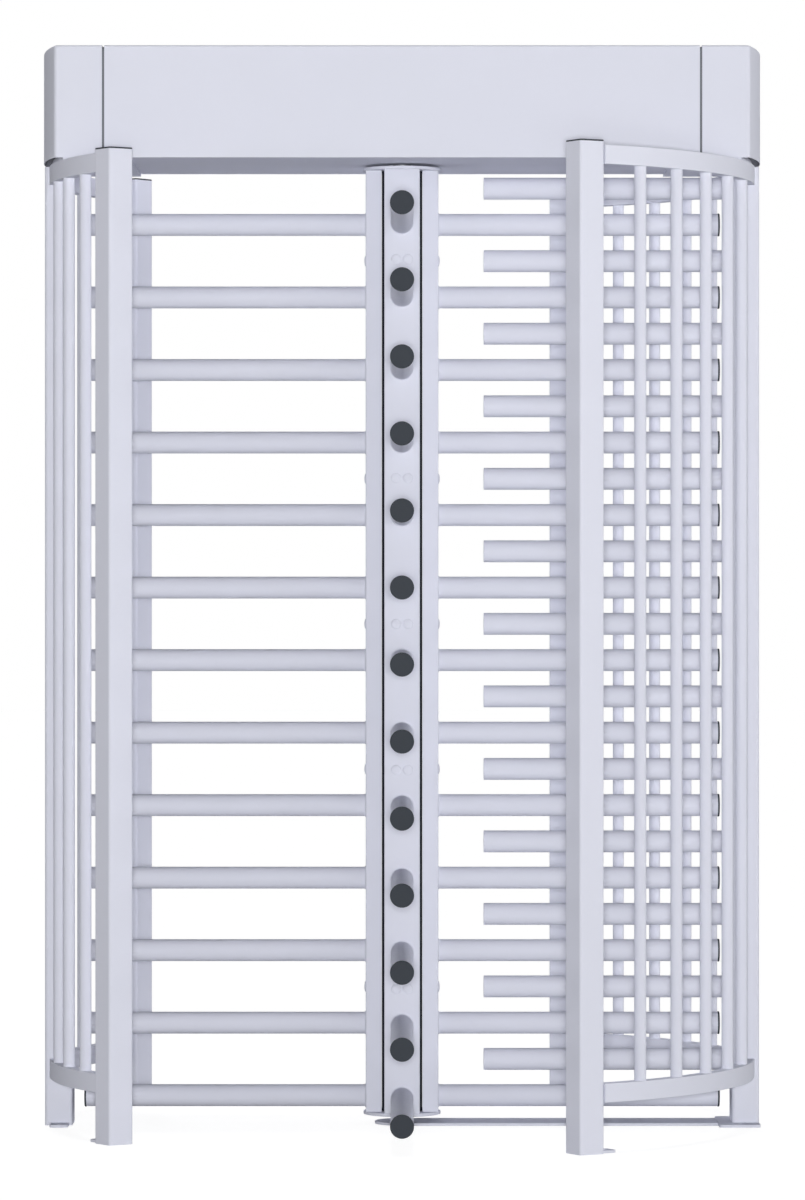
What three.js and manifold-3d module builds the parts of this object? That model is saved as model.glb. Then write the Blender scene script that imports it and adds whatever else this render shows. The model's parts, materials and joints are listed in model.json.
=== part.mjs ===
// Full height turnstile: a four-wing rotor that turns between a fixed comb and four barred
// quarter screens, under a canopy that holds the bearing, the lock wheel and the damper.
// Millimetres. The origin is on the floor under the rotor's axis, +Z is up, -Y is the side
// that people come in from, and +X is the side of the comb. Front and back are mirror images.
import * as THREE from "three";
import { mergeVertices } from "three/addons/utils/BufferGeometryUtils.js";
import Module from "manifold-3d";

const wasm = await Module();
wasm.setup();

// Clearances
const fitGap = 0.3; // between pieces that touch
const runGap = 0.4; // radial, between pieces that turn or slide in each other
const overrun = 2; // how far a cutting tool runs past the face that it opens
const weldDepth = 2; // how far a welded tube reaches into the wall that carries it

// Rotor
const armDiameter = 48.3;
const armReach = 700; // from the axis to the tip
const armPitch = 160;
const armCount = 13;
const lowestArm = 62;
const armTipChamfer = 1.2;
const wingNames = ["right", "back", "left", "front"];
const columnHalf = 80; // from the axis to a channel's outer face
const columnFoot = 33; // from the lowest arm's middle down to the column's foot
const columnGroove = 6; // between two channels, at a corner of the column
const channelDepth = 35;
const channelWall = 4;
const coreGap = 0.55; // from the core tube to a channel's lips
const coreWall = 5;
const discRim = 5; // how far a disc stands out past the channels
const discThickness = 7;
const bushLength = 30;

// Floor plates
const footThickness = 6;
const footCorner = 8;
const footBarWidth = 40;
const footBarLength = 200;
const footBarInset = 33; // from the left leg's outer face to the middle of its foot bar
const basePlateWidth = 90;
const basePlateDepth = 200;
const railWidth = 120;
const anchorHole = 12;
const anchorInset = 22; // from a plate's end to the middle of its anchor hole
const pivotDiameter = 24;
const pivotProud = 7.4; // of the pivot's pin above its bush
const pivotFlange = 48;

// Legs
const legProud = 9; // of a leg's outer face past the screens
const legWidth = 60;
const legDepth = 100;
const legWall = 4;
const legCorner = 8;
const legHead = 44; // from the highest comb bar's middle up to a leg's top

// Comb
const combStart = 180; // from the axis to the free ends of the comb bars

// Posts, by their middles' distance from the screens' inner faces, and their angles off the leg.
// The bars of a screen stand at equal steps from the first, near the leg, to the last.
const postSize = 60;
const postWall = 3;
const postCorner = 6;
const postProud = 6.7; // of a post's top above the legs
const postCapThickness = 3;
const postPlugDepth = 12;
const tabReach = 67; // from a post's middle to the end of its foot tab
const sides = {
  left: { sign: -1, postOffset: 8, postAngle: 35.7, barCount: 3, firstBar: 11.2, lastGap: 8.7 },
  right: { sign: 1, postOffset: -3, postAngle: 59.1, barCount: 5, firstBar: 14.5, lastGap: 10.2 },
};
const ends = { front: -1, back: 1 };

// Screens between the legs and the posts
const tipGap = 46; // from the arms' tips to the screens' inner faces
const ringWidth = 30;
const ringHeight = 40;
const lowerRingBottom = 107;
const barDiameter = 25.4;

// Canopy
const canopyHeight = 243;
const canopyProud = 3; // of the canopy's curved ends past the legs
const sheet = 3;
const bendRadius = 6;
const endCapLength = 141.5; // from the middle of a seam to the farthest of the curved end
const seamGap = 5;
const panThickness = 4;
const headPlateThickness = 10;
const headPlateLength = 183;
const headPlateSetBack = 18; // of a head plate's curved end from the canopy's
const skirtOverlap = 4.3; // how far the canopy's sides reach down past the head plates' tops

// Header beams and mechanism plate
const beamWidth = 60;
const beamHeight = 80;
const beamWall = 4;
const beamSetIn = 57.5; // from the canopy's front or back to a beam's outer side
const beamSetBack = 30; // of a beam's end from the head plate's curved end
const mechPlateLength = 360;
const mechPlateRim = 1; // past the solenoids
const mechPlateThickness = 10;

// Shaft and upper bearing
const shaftDiameter = 40;
const shaftProud = 17; // of the shaft's top above the lock wheel
const shaftPassage = 10; // round the shaft, where it passes through a plate
const bearingDiameter = 80;
const bearingHeight = 26;
const housingWall = 14.7;
const housingLip = 4.5;
const housingRim = 5.2; // of the housing's top above the bearing

// Drive gear and damper
const gearModule = 3;
const gearTeeth = 48;
const pinionTeeth = 16;
const gearThickness = 10;
const gearRise = 6.8; // of the gear above the bearing's housing
const toothTipShare = 0.24; // of the tooth pitch
const toothRootShare = 0.62;
const addendumShare = 0.9; // of the module
const dedendumShare = 1.15;
const damperGap = 8; // from the bearing's housing to the damper
const damperHeadroom = 3.8; // from the damper up to its pinion's teeth
const damperShaft = 12;
const damperShaftDepth = 20;

// Lock wheel and pawls
const wheelThickness = 10;
const wheelRise = 8; // of the wheel above the gear
const wheelRadius = 100;
const slotCount = 12;
const slotWidth = 18;
const slotDepth = 14;
const pawlPivotX = 90;
const pawlSetOff = 24; // from the wheel's rim to the pawls' pivots, along Y
const pawlWidth = 20;
const noseGap = 4; // on each side of a pawl's nose in a slot
const pawlRestGap = 4; // between the wheel's rim and the nose of a pawl at rest
const pawlLift = 8; // degrees from rest to locked
const pawlPin = 12;
const pawlCollar = 22;
const pawlPinProud = 4;
const pawlTail = 40; // from the pivot to the tail pin
const tailPin = 8;
const tailPinHeight = 8;

// Lock solenoids
const plungerDiameter = 14;
const plungerLength = 45;
const plungerRise = 3; // of the plunger's axis above the pawl's top
const plungerSetOff = 7; // from the pawl's tail to the round part of the plunger
const tongueWidth = 24;
const tongueThickness = 4;
const tongueStart = 10; // from the tail pin to the tongue's free end
const tongueGap = 0.5;
const tongueSlot = 12;
const plungerShown = 15; // how much of the plunger's round part stands out at rest
const solenoidWidth = 44;
const solenoidLength = 55;
const solenoidOver = 22; // of the solenoid's top above the plunger's axis
const solenoidBore = 40;
const solenoidGap = 23.5; // from a solenoid to the canopy's cover, which sets the canopy's depth

// Control box
const controlLength = 220;
const controlHeight = 70;
const controlSetBack = 57; // from the head plate to the box

// Facets
const tubeSides = 12;
const shaftSides = 24;
const discSides = 48;
const cornerSteps = 2;
const ringStep = 5; // degrees
const weldTolerance = 1e-3;

// Distances from the axis that follow from the sizes above
const discDiameter = 2 * (columnHalf + discRim);
const channelWidth = 2 * (columnHalf - channelDepth - columnGroove);
const coreDiameter = 2 * (columnHalf - channelDepth - coreGap);
const screenInner = armReach + tipGap;
const ringOuter = screenInner + ringWidth;
const legOuter = ringOuter + legProud;
const canopyRadius = legOuter + canopyProud;
const seamMiddle = canopyRadius - endCapLength;
const headPlateRadius = canopyRadius - headPlateSetBack;
const headPlateInner = headPlateRadius - headPlateLength;
const beamHalfLength = headPlateRadius - beamSetBack;
const passageDiameter = shaftDiameter + 2 * shaftPassage;
const housingBore = bearingDiameter + 2 * fitGap;
const housingDiameter = housingBore + 2 * housingWall;
const gearDistance = (gearModule * (gearTeeth + pinionTeeth)) / 2;
const damperDiameter = 2 * (gearDistance - housingDiameter / 2 - damperGap);
const plungerStart = pawlWidth / 2 + plungerSetOff; // from the tail pin
const solenoidStart = plungerStart + plungerShown;
const pawlPivotY = wheelRadius + pawlSetOff;
const solenoidEnd = pawlPivotY + solenoidStart + solenoidLength;
const mechPlateDepth = 2 * (solenoidEnd + mechPlateRim);
const canopyDepth = 2 * (solenoidEnd + solenoidGap + sheet);
const beamOffset = canopyDepth / 2 - beamSetIn - beamWidth / 2;

// Levels that follow from the sizes above
const columnBottom = lowestArm - columnFoot;
const rotorFloor = columnBottom - fitGap - discThickness;
const legTop = lowestArm + (armCount - 1 / 2) * armPitch + legHead;
const columnTop = legTop - discThickness;
const postTop = legTop + postProud;
const headPlateBottom = legTop + fitGap;
const headPlateTop = headPlateBottom + headPlateThickness;
const canopyBottom = headPlateTop - skirtOverlap;
const canopyTop = canopyBottom + canopyHeight;
const beamBottom = headPlateTop + fitGap;
const mechPlateBottom = beamBottom + beamHeight + fitGap;
const mechPlateTop = mechPlateBottom + mechPlateThickness;
const deck = mechPlateTop + fitGap; // where the pieces on the mechanism plate stand
const housingHeight = housingLip + fitGap + bearingHeight + housingRim;
const gearBottom = deck + housingHeight + gearRise;
const damperTop = gearBottom - damperHeadroom;
const wheelBottom = gearBottom + gearThickness + wheelRise;
const wheelTop = wheelBottom + wheelThickness;
const shaftTop = wheelTop + shaftProud;
const plungerLevel = wheelTop + plungerRise;

// Materials
const paint = { color: 0xdcdde8, roughness: 0.5, metalness: 0.1 };
const finishes = {
  paint,
  dark_plastic: { color: 0x3b3e45, roughness: 0.55, metalness: 0 },
  steel: { color: 0xa7abb0, roughness: 0.35, metalness: 0.9 },
  zinc: { color: 0xb9bcb4, roughness: 0.45, metalness: 0.8 },
  bronze: { color: 0xb08d57, roughness: 0.4, metalness: 0.8 },
  box_plastic: { color: 0x9a9da3, roughness: 0.6, metalness: 0 },
};

const turnstile = new THREE.Group();

function radians(degrees) {
  return (degrees * Math.PI) / 180;
}

// A point at a radius and an angle from the +X axis
function polar(radius, degrees) {
  return [radius * Math.cos(radians(degrees)), radius * Math.sin(radians(degrees))];
}

function place(name, geometry, finish) {
  const mesh = new THREE.Mesh(geometry, new THREE.MeshStandardMaterial(finishes[finish]));
  mesh.name = name;
  turnstile.add(mesh);
  return mesh;
}

function outline(points) {
  return new THREE.Shape(points.map(([x, y]) => new THREE.Vector2(x, y)));
}

// Points of an arc about the origin
function arcPoints(radius, from, to, steps) {
  return Array.from({ length: steps + 1 }, (_, i) => polar(radius, from + ((to - from) * i) / steps));
}

// Points of a rectangle about a middle, with rounded corners
function roundedRectangle(width, depth, corner, middle = [0, 0]) {
  const right = width / 2 - corner;
  const top = depth / 2 - corner;
  const corners = [
    [right, top, 0],
    [-right, top, 90],
    [-right, -top, 180],
    [right, -top, 270],
  ];
  return corners.flatMap(([x, y, from]) =>
    arcPoints(corner, from, from + 90, cornerSteps).map(([dx, dy]) => [
      middle[0] + x + dx,
      middle[1] + y + dy,
    ]),
  );
}

function circlePoints(diameter, count, middle = [0, 0]) {
  return Array.from({ length: count }, (_, i) => {
    const [x, y] = polar(diameter / 2, (360 * i) / count);
    return [middle[0] + x, middle[1] + y];
  });
}

// A prism of an outline between two levels, with holes right through it
function prism(points, bottom, top, holes = []) {
  const shape = outline(points);
  shape.holes = holes.map((hole) => outline(hole));
  const made = new THREE.ExtrudeGeometry(shape, { depth: top - bottom, bevelEnabled: false });
  return made.translate(0, 0, bottom);
}

function box(xs, ys, zs) {
  const made = new THREE.BoxGeometry(xs[1] - xs[0], ys[1] - ys[0], zs[1] - zs[0]);
  return made.translate((xs[0] + xs[1]) / 2, (ys[0] + ys[1]) / 2, (zs[0] + zs[1]) / 2);
}

function cylinder(diameter, bottom, top, count = shaftSides, middle = [0, 0]) {
  return prism(circlePoints(diameter, count, middle), bottom, top);
}

function ring(outer, inner, bottom, top, count = shaftSides) {
  return prism(circlePoints(outer, count), bottom, top, [circlePoints(inner, count)]);
}

// A round bar along +X whose free end has a small chamfer
function roundBar(diameter, from, to, chamfer) {
  const radius = diameter / 2;
  const profile = [
    [0, from],
    [radius, from],
    [radius, to - chamfer],
    [radius - chamfer, to],
    [0, to],
  ].map(([x, y]) => new THREE.Vector2(x, y));
  return new THREE.LatheGeometry(profile, tubeSides).rotateZ(-Math.PI / 2);
}

function solidOf(geometry) {
  const bare = geometry.clone();
  bare.deleteAttribute("normal");
  bare.deleteAttribute("uv");
  const merged = mergeVertices(bare, weldTolerance);
  return new wasm.Manifold(
    new wasm.Mesh({
      numProp: 3,
      vertProperties: merged.attributes.position.array,
      triVerts: new Uint32Array(merged.index.array),
    }),
  );
}

function geometryOf(solid) {
  const mesh = solid.getMesh();
  const made = new THREE.BufferGeometry();
  made.setAttribute("position", new THREE.BufferAttribute(mesh.vertProperties, 3));
  made.setIndex(new THREE.BufferAttribute(mesh.triVerts, 1));
  made.computeVertexNormals();
  return made;
}

// The first geometry with the others joined to it and the cuts taken out
function shaped(added, cuts = []) {
  const whole = added.map(solidOf).reduce((sum, next) => sum.add(next));
  return geometryOf(cuts.map(solidOf).reduce((rest, cut) => rest.subtract(cut), whole));
}

// Rotor: each wing is a pressed channel with its arms welded on
function wing() {
  const inner = columnHalf - channelDepth;
  const half = channelWidth / 2;
  const web = columnHalf - channelWall;
  const section = [
    [inner, -half],
    [columnHalf, -half],
    [columnHalf, half],
    [inner, half],
    [inner, half - channelWall],
    [web, half - channelWall],
    [web, channelWall - half],
    [inner, channelWall - half],
  ];
  const arms = Array.from({ length: armCount }, (_, i) =>
    roundBar(armDiameter, columnHalf - weldDepth, armReach, armTipChamfer).translate(
      0,
      0,
      lowestArm + i * armPitch,
    ),
  );
  return shaped([prism(section, columnBottom, columnTop), ...arms]);
}

function rotorCore() {
  const lowerTop = rotorFloor + discThickness;
  const upperBottom = columnTop + fitGap;
  const bore = coreDiameter - 2 * coreWall;
  const tube = ring(coreDiameter, bore, lowerTop - weldDepth, upperBottom + weldDepth);
  const lower = ring(discDiameter, pivotDiameter + 2 * runGap, rotorFloor, lowerTop, discSides);
  const upper = cylinder(discDiameter, upperBottom, upperBottom + discThickness, discSides);
  const drain = cylinder(shaftDiameter / 2, upperBottom - overrun, upperBottom + discThickness + overrun);
  return shaped([tube, lower, upper], [drain]);
}

function addRotor() {
  wingNames.forEach((name, i) => {
    place(`wing_${name}`, wing(), "paint").rotation.z = (i * 2 * Math.PI) / wingNames.length;
  });
  place("rotor_core", rotorCore(), "paint");
  const bushOuter = coreDiameter - 2 * coreWall - 2 * fitGap;
  const bushInner = pivotDiameter + 2 * runGap;
  const bushBottom = rotorFloor + discThickness + fitGap;
  place("bottom_bush", ring(bushOuter, bushInner, bushBottom, bushBottom + bushLength), "bronze");
}

// Floor plates
function addFloorPlates() {
  const footX = footBarInset - legOuter;
  const anchorY = footBarLength / 2 - anchorInset;
  const anchors = [-anchorY, anchorY].map((y) => circlePoints(anchorHole, tubeSides, [footX, y]));
  const footBar = roundedRectangle(footBarWidth, footBarLength, footCorner, [footX, 0]);
  place("foot_bar_left", prism(footBar, 0, footThickness, anchors), "paint");

  const plateX = legOuter - basePlateWidth / 2;
  const plateAnchorY = basePlateDepth / 2 - anchorInset;
  const plateAnchors = [-plateAnchorY, plateAnchorY].map((y) =>
    circlePoints(anchorHole, tubeSides, [plateX, y]),
  );
  const plate = roundedRectangle(basePlateWidth, basePlateDepth, footCorner, [plateX, 0]);
  place("base_plate_right", prism(plate, 0, footThickness, plateAnchors), "paint");

  const railEnd = legOuter - basePlateWidth - fitGap;
  const railOutline = [
    ...arcPoints(railWidth / 2, 90, 270, tubeSides),
    [railEnd, -railWidth / 2],
    [railEnd, railWidth / 2],
  ];
  place("floor_rail", prism(railOutline, 0, footThickness), "paint");

  const flangeTop = rotorFloor - fitGap;
  const pinTop = rotorFloor + discThickness + fitGap + bushLength + pivotProud;
  const flange = cylinder(pivotFlange, footThickness + fitGap, flangeTop);
  const pin = cylinder(pivotDiameter, flangeTop - weldDepth, pinTop);
  place("bottom_pivot", shaped([flange, pin]), "steel");
}

// Legs
function leg(sign, bottom, cuts) {
  const middle = [sign * (legOuter - legWidth / 2), 0];
  const section = roundedRectangle(legWidth, legDepth, legCorner, middle);
  const hollow = roundedRectangle(
    legWidth - 2 * legWall,
    legDepth - 2 * legWall,
    legCorner - legWall,
    middle,
  );
  return shaped([prism(section, bottom, legTop, [hollow])], cuts);
}

function headPlate(sign) {
  const half = canopyDepth / 2 - sheet - fitGap;
  const reach = (Math.asin(half / headPlateRadius) * 180) / Math.PI;
  const points = [
    [headPlateInner, -half],
    ...arcPoints(headPlateRadius, -reach, reach, tubeSides),
    [headPlateInner, half],
  ];
  const mirrored = points.map(([x, y]) => [sign * x, y]);
  return prism(mirrored, headPlateBottom, headPlateTop);
}

function addLegs() {
  const footX = footBarInset - legOuter;
  const slot = box(
    [footX - footBarWidth / 2 - fitGap, footX + footBarWidth / 2 + fitGap],
    [-legDepth, legDepth],
    [-overrun, footThickness + fitGap],
  );
  place("leg_left", leg(sides.left.sign, 0, [slot]), "paint");
  place("leg_right", leg(sides.right.sign, footThickness + fitGap, []), "paint");
  for (const [side, { sign }] of Object.entries(sides)) {
    place(`head_plate_${side}`, headPlate(sign), "paint");
  }
}

// Comb: one bar halfway between each two arms, and one over the highest arm
function addComb() {
  const combEnd = legOuter - legWidth - fitGap;
  for (let i = 0; i < armCount; i += 1) {
    const bar = roundBar(armDiameter, -combEnd, -combStart, armTipChamfer).rotateZ(Math.PI);
    const number = String(i + 1).padStart(2, "0");
    place(`comb_bar_${number}`, bar, "paint").position.z = lowestArm + (i + 1 / 2) * armPitch;
  }
}

// Posts with their foot tabs. In a post's own axes +X points away from the rotor.
function post() {
  const tube = prism(roundedRectangle(postSize, postSize, postCorner), 0, postTop, [
    roundedRectangle(postSize - 2 * postWall, postSize - 2 * postWall, postCorner - postWall),
  ]);
  const tabStart = postSize / 2 - postWall / 2;
  const tabLength = tabReach - tabStart;
  const tabMiddle = [0, tabStart + tabLength / 2];
  const tabHole = circlePoints(anchorHole, tubeSides, [0, tabReach - anchorInset]);
  const tab = prism(
    roundedRectangle(footBarWidth, tabLength, footCorner, tabMiddle),
    0,
    footThickness,
    [tabHole],
  );
  return shaped([tube, tab]);
}

function postCap() {
  const plug = postSize - 2 * postWall - 2 * fitGap;
  const plugCorner = postCorner - postWall;
  const seat = postTop + fitGap;
  return shaped([
    prism(roundedRectangle(postSize, postSize, postCorner), seat, seat + postCapThickness),
    prism(roundedRectangle(plug, plug, plugCorner), seat - postPlugDepth, seat + weldDepth),
  ]);
}

// Angle of a side's post or bar about the rotor's axis, from its angle off that side's leg
function bearing(sign, end, degrees) {
  return sign > 0 ? end * degrees : 180 - end * degrees;
}

// Turns a piece made about the Z axis to face the rotor, and stands it where its post is
function stand(mesh, side, end) {
  const { sign, postOffset, postAngle } = side;
  const angle = bearing(sign, end, postAngle);
  const [x, y] = polar(screenInner + postOffset, angle);
  mesh.position.set(x, y, 0);
  mesh.rotation.z = radians(angle);
}

function addPosts() {
  for (const [sideName, side] of Object.entries(sides)) {
    for (const [endName, end] of Object.entries(ends)) {
      // Its tab points to the leg, which is to the left or to the right of it.
      const upright = side.sign * end < 0 ? post() : post().rotateZ(Math.PI);
      stand(place(`post_${endName}_${sideName}`, upright, "paint"), side, end);
      stand(place(`post_cap_${endName}_${sideName}`, postCap(), "dark_plastic"), side, end);
    }
  }
}

// Screens: an upper and a lower ring with bars welded between them
function ringSector(side, bottom) {
  const walls = [ringOuter, screenInner].map((radius) => ({
    radius,
    from: (Math.asin((legDepth / 2 + fitGap) / radius) * 180) / Math.PI,
    to: side.postAngle - (Math.asin((postSize / 2 + fitGap) / radius) * 180) / Math.PI,
  }));
  const steps = Math.ceil((walls[0].to - walls[0].from) / ringStep);
  const [outer, inner] = walls.map(({ radius, from, to }) => arcPoints(radius, from, to, steps));
  return prism([...outer, ...inner.reverse()], bottom, bottom + ringHeight);
}

function screen(side) {
  const upper = legTop - ringHeight;
  const barStep = (side.postAngle - side.lastGap - side.firstBar) / (side.barCount - 1);
  const bars = Array.from({ length: side.barCount }, (_, i) => {
    const middle = polar(screenInner + ringWidth / 2, side.firstBar + i * barStep);
    const bottom = lowerRingBottom + ringHeight - weldDepth;
    return cylinder(barDiameter, bottom, upper + weldDepth, tubeSides, middle);
  });
  return [ringSector(side, lowerRingBottom), ringSector(side, upper), ...bars];
}

function mirrored(geometry, x, y) {
  const made = geometry.index ? geometry.toNonIndexed() : geometry.clone();
  made.scale(x, y, 1);
  if (x * y < 0) {
    const places = made.getAttribute("position").array;
    for (let i = 0; i < places.length; i += 9) {
      for (let j = 0; j < 3; j += 1) {
        [places[i + 3 + j], places[i + 6 + j]] = [places[i + 6 + j], places[i + 3 + j]];
      }
    }
  }
  return made;
}

function addScreens() {
  for (const [sideName, side] of Object.entries(sides)) {
    for (const [endName, end] of Object.entries(ends)) {
      const made = mirrored(shaped(screen(side)), side.sign, end);
      place(`screen_${endName}_${sideName}`, made, "paint");
    }
  }
}

// Canopy: a folded centre cover, two end caps with curved ends, and a pan below
function centreCover() {
  const half = canopyDepth / 2;
  const cover = seamMiddle - seamGap / 2;
  const bend = (radius, y, z, from, to) =>
    arcPoints(radius, from, to, cornerSteps).map(([dy, dz]) => [y + dy, z + dz]);
  const bendY = half - bendRadius;
  const bendZ = canopyTop - bendRadius;
  const section = [
    [half, canopyBottom],
    ...bend(bendRadius, bendY, bendZ, 0, 90),
    ...bend(bendRadius, -bendY, bendZ, 90, 180),
    [-half, canopyBottom],
    [sheet - half, canopyBottom],
    ...bend(bendRadius - sheet, -bendY, bendZ, 180, 90),
    ...bend(bendRadius - sheet, bendY, bendZ, 90, 0),
    [half - sheet, canopyBottom],
  ];
  return prism(section, -cover, cover).rotateX(Math.PI / 2).rotateZ(Math.PI / 2);
}

// The plan outline of an end cap, drawn in by a wall thickness
function endOutline(inset, start) {
  const half = canopyDepth / 2 - inset;
  const radius = canopyRadius - inset;
  const reach = (Math.asin(half / radius) * 180) / Math.PI;
  return [[start, -half], ...arcPoints(radius, -reach, reach, tubeSides), [start, half]];
}

function endCap(sign) {
  const start = seamMiddle + seamGap / 2;
  const outer = prism(endOutline(0, start), canopyBottom, canopyTop);
  const inner = prism(endOutline(sheet, start - overrun), canopyBottom - overrun, canopyTop - sheet);
  return mirrored(shaped([outer], [inner]), sign, 1);
}

function addCanopy() {
  place("canopy_centre_cover", centreCover(), "paint");
  for (const [side, { sign }] of Object.entries(sides)) {
    place(`canopy_end_cap_${side}`, endCap(sign), "paint");
  }
  const panHalf = headPlateInner - fitGap;
  const panY = canopyDepth / 2 - sheet - fitGap;
  const pan = roundedRectangle(2 * panHalf, 2 * panY, footCorner);
  const passage = circlePoints(passageDiameter, shaftSides);
  place("canopy_pan", prism(pan, headPlateTop - panThickness, headPlateTop, [passage]), "paint");
}

// Header beams and mechanism plate
function addHeader() {
  const wallY = beamWidth / 2 - beamWall;
  for (const [endName, end] of Object.entries(ends)) {
    const y = end * beamOffset;
    const tube = box(
      [-beamHalfLength, beamHalfLength],
      [y - beamWidth / 2, y + beamWidth / 2],
      [beamBottom, beamBottom + beamHeight],
    );
    const hollow = box(
      [-beamHalfLength - overrun, beamHalfLength + overrun],
      [y - wallY, y + wallY],
      [beamBottom + beamWall, beamBottom + beamHeight - beamWall],
    );
    place(`header_beam_${endName}`, shaped([tube], [hollow]), "zinc");
  }
  const plate = prism(
    roundedRectangle(mechPlateLength, mechPlateDepth, footCorner),
    mechPlateBottom,
    mechPlateTop,
    [circlePoints(passageDiameter, shaftSides)],
  );
  const pins = Object.values(ends).flatMap((end) => {
    const middle = [pawlPivotX, end * pawlPivotY];
    return [
      cylinder(pawlCollar, mechPlateTop - weldDepth, wheelBottom - fitGap, shaftSides, middle),
      cylinder(pawlPin, wheelBottom - weldDepth, wheelTop + pawlPinProud, shaftSides, middle),
    ];
  });
  place("mechanism_plate", shaped([plate, ...pins]), "zinc");
  const controlStart = controlSetBack - headPlateInner;
  const controlX = [controlStart, controlStart + controlLength];
  const controlY = [-beamOffset - beamWidth / 2, beamOffset + beamWidth / 2];
  const controlZ = [mechPlateBottom, mechPlateBottom + controlHeight];
  place("control_box", box(controlX, controlY, controlZ), "box_plastic");
}

// Shaft, upper bearing, drive gear and lock wheel
function gearPoints(teeth, startDegrees) {
  const pitchRadius = (gearModule * teeth) / 2;
  const tip = pitchRadius + addendumShare * gearModule;
  const root = pitchRadius - dedendumShare * gearModule;
  const step = 360 / teeth;
  return Array.from({ length: teeth }, (_, i) => startDegrees + i * step).flatMap((middle) => [
    polar(root, middle - (toothRootShare * step) / 2),
    polar(tip, middle - (toothTipShare * step) / 2),
    polar(tip, middle + (toothTipShare * step) / 2),
    polar(root, middle + (toothRootShare * step) / 2),
  ]);
}

function addShaft() {
  const shaftBottom = columnTop + fitGap + discThickness + fitGap;
  place("rotor_shaft", cylinder(shaftDiameter, shaftBottom, shaftTop), "steel");
  const hub = circlePoints(shaftDiameter + 2 * fitGap, shaftSides);
  const gear = prism(gearPoints(gearTeeth, 0), gearBottom, gearBottom + gearThickness, [hub]);
  place("drive_gear", gear, "steel");
  const disc = prism(circlePoints(2 * wheelRadius, discSides), wheelBottom, wheelTop, [hub]);
  const slots = Array.from({ length: slotCount }, (_, i) =>
    box(
      [wheelRadius - slotDepth, wheelRadius + overrun],
      [-slotWidth / 2, slotWidth / 2],
      [wheelBottom - overrun, wheelTop + overrun],
    ).rotateZ((i * 2 * Math.PI) / slotCount),
  );
  place("lock_wheel", shaped([disc], slots), "steel");
  const lip = deck + housingLip;
  const housing = ring(housingDiameter, housingBore, deck, deck + housingHeight);
  const step = ring(housingBore + weldDepth, passageDiameter, deck, lip);
  place("bearing_housing", shaped([housing, step]), "steel");
  const seat = lip + fitGap;
  const bore = shaftDiameter + 2 * fitGap;
  place("top_bearing", ring(bearingDiameter, bore, seat, seat + bearingHeight), "steel");
}

// Rotary damper, driven through a pinion
function addDamper() {
  const shaftEnd = damperTop - damperShaftDepth;
  const body = cylinder(damperDiameter, deck, damperTop);
  const bore = cylinder(damperShaft + 2 * runGap, shaftEnd - fitGap, damperTop + overrun);
  place("damper_body", shaped([body], [bore]), "zinc").position.x = -gearDistance;
  const teeth = prism(gearPoints(pinionTeeth, 180 / pinionTeeth), gearBottom, gearBottom + gearThickness);
  const shaft = cylinder(damperShaft, shaftEnd, gearBottom + weldDepth);
  place("damper_pinion", shaped([teeth, shaft]), "steel").position.x = -gearDistance;
}

// Locking pawls and the solenoids that pull them in. Each is drawn for the back of the wheel.
function pawl(end) {
  const noseTip = wheelRadius + pawlRestGap;
  const drop = pawlPivotY - noseTip;
  const lift = radians(pawlLift);
  // When the pawl is in, its nose stands square in the slot and on its middle line.
  const shift = (pawlPivotX + drop * Math.sin(lift)) / Math.cos(lift) - pawlPivotX;
  const lean = (drop - pawlWidth / 2) * Math.tan(lift);
  const half = slotWidth / 2 - noseGap;
  const low = pawlPivotY - pawlWidth / 2;
  const high = pawlPivotY + pawlWidth / 2;
  const tail = pawlPivotX + pawlTail + pawlWidth / 2;
  const points = [
    [-shift - half, noseTip],
    [-shift + half, noseTip],
    [-shift + half + lean, low],
    [tail, low],
    [tail, high],
    [-shift - half + lean, high],
    [-shift - half + lean, low],
  ].map(([x, y]) => [x, end * y]);
  const bore = circlePoints(pawlPin + 2 * runGap, shaftSides, [pawlPivotX, end * pawlPivotY]);
  const plate = prism(points, wheelBottom, wheelTop, [bore]);
  const pin = cylinder(tailPin, wheelTop - weldDepth, wheelTop + tailPinHeight, shaftSides, [
    pawlPivotX + pawlTail,
    end * pawlPivotY,
  ]);
  return shaped([plate, pin]);
}

function plunger(end) {
  const x = pawlPivotX + pawlTail;
  const pinY = pawlPivotY;
  const span = (from, to) => [Math.min(end * from, end * to), Math.max(end * from, end * to)];
  const tongueBottom = wheelTop + tongueGap;
  const tongue = box(
    [x - tongueWidth / 2, x + tongueWidth / 2],
    span(pinY - tongueStart, pinY + plungerStart + weldDepth),
    [tongueBottom, tongueBottom + tongueThickness],
  );
  const rod = new THREE.CylinderGeometry(
    plungerDiameter / 2,
    plungerDiameter / 2,
    plungerLength,
    shaftSides,
  ).translate(x, end * (pinY + plungerStart + plungerLength / 2), plungerLevel);
  const slot = box(
    [x - tongueSlot / 2, x + tongueSlot / 2],
    span(pinY - tailPin / 2 - runGap, pinY + tailPin / 2 + runGap),
    [wheelTop, tongueBottom + tongueThickness + overrun],
  );
  return shaped([tongue, rod], [slot]);
}

function solenoid(end) {
  const x = pawlPivotX + pawlTail;
  const near = pawlPivotY + solenoidStart;
  const far = near + solenoidLength;
  const body = box(
    [x - solenoidWidth / 2, x + solenoidWidth / 2],
    end > 0 ? [near, far] : [-far, -near],
    [deck, plungerLevel + solenoidOver],
  );
  const bore = new THREE.CylinderGeometry(
    plungerDiameter / 2 + runGap,
    plungerDiameter / 2 + runGap,
    solenoidBore + overrun,
    shaftSides,
  ).translate(x, end * (near + (solenoidBore - overrun) / 2), plungerLevel);
  return shaped([body], [bore]);
}

function addLocks() {
  for (const [endName, end] of Object.entries(ends)) {
    place(`pawl_${endName}`, pawl(end), "steel");
    place(`plunger_${endName}`, plunger(end), "steel");
    place(`solenoid_${endName}`, solenoid(end), "zinc");
  }
}

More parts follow.
